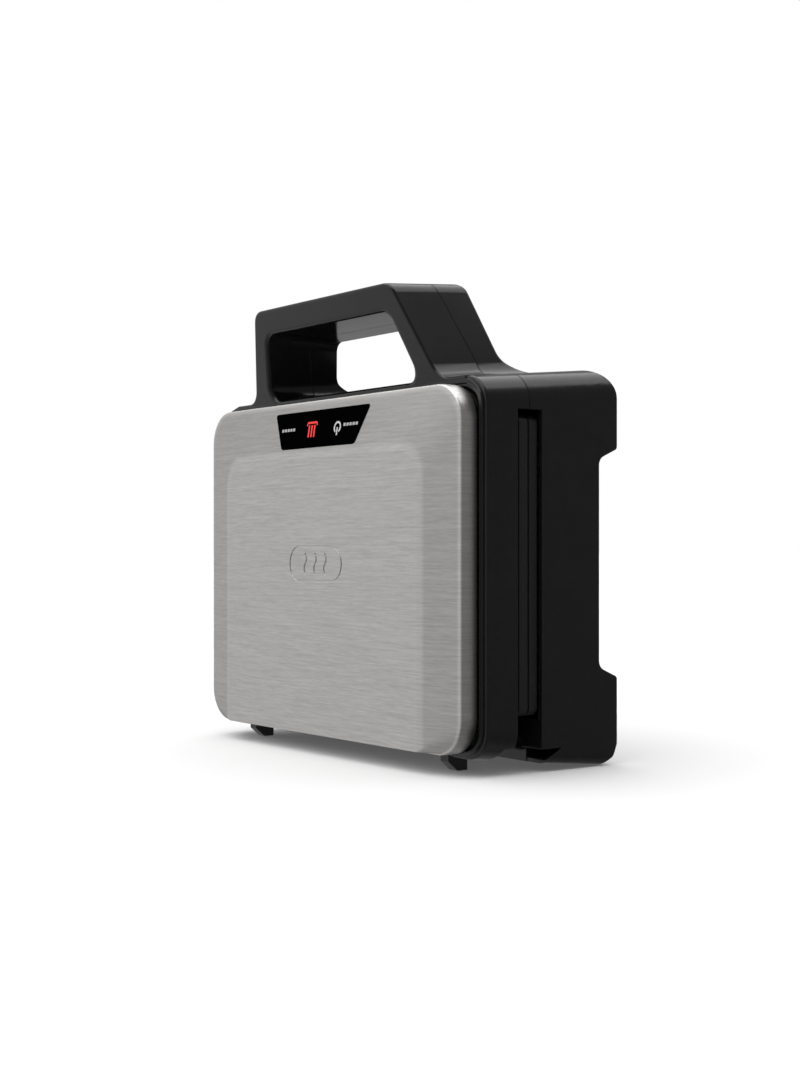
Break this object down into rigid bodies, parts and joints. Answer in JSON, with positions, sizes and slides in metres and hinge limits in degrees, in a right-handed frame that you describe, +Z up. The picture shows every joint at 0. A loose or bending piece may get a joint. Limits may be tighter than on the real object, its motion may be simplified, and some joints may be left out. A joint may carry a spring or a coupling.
{
  "type": "sandwich press",
  "caption": "Compact electric sandwich press with a split carrying handle and a brushed steel lid cover, closed and standing upright on its hinge end.",
  "frame": {"origin": "centre of the standing footprint, at the bottom", "axes": "+Z up through the carrying handle, +Y towards the feet it cooks on, -Y out of the steel lid cover, +X to the right seen from the lid"},
  "size_m": [0.239, 0.1, 0.2406],
  "materials": {
    "black_shell": "fine satin moulded",
    "brushed_cover": "horizontally brushed",
    "black_gloss": "glossy",
    "nonstick_plate": "satin non-stick coating",
    "element_steel": "heat-tinted satin",
    "zinc_steel": "zinc plated",
    "pin_steel": "bright drawn",
    "shield_aluminium": "mill finish",
    "ceramic_body": "unglazed",
    "fuse_glass_sleeve": "woven sleeve",
    "clamp_plastic": "matte",
    "black_rubber": "matte",
    "board_laminate": "phenolic laminate",
    "lamp_clear": "clear",
    "lamp_red": "clear red",
    "lead_insulation": "silicone"
  },
  "bodies": {
    "base": {"base_shell": "black_shell", "lower_cooking_plate": "nonstick_plate", "lower_heating_element": "element_steel", "lower_element_clamps": "zinc_steel", "lower_heat_shield": "shield_aluminium", "thermostat": "ceramic_body", "thermal_fuse": "fuse_glass_sleeve", "terminal_block": "ceramic_body", "cord_bushing": "black_rubber", "cord_clamp": "clamp_plastic", "cord_clamp_screws": "zinc_steel", "lower_plate_screws": "zinc_steel", "rubber_feet": "black_rubber", "base_leads": "lead_insulation"},
    "lid": {"lid_frame": "black_shell", "lid_cover": "brushed_cover", "indicator_window": "black_gloss", "light_box": "clamp_plastic", "indicator_board": "board_laminate", "power_lamp": "lamp_clear", "heat_lamp": "lamp_red", "board_screws": "zinc_steel", "upper_cooking_plate": "nonstick_plate", "upper_heating_element": "element_steel", "upper_element_clamps": "zinc_steel", "upper_heat_shield": "shield_aluminium", "upper_plate_screws": "zinc_steel", "hinge_pins": "pin_steel"}
  },
  "joints": [
    {"name": "lid_hinge", "type": "hinge", "parent": "base", "child": "lid", "pos_m": [0, -0.007, 0.013], "axis": [1, 0, 0], "range_deg": [0, 100]}
  ]
}
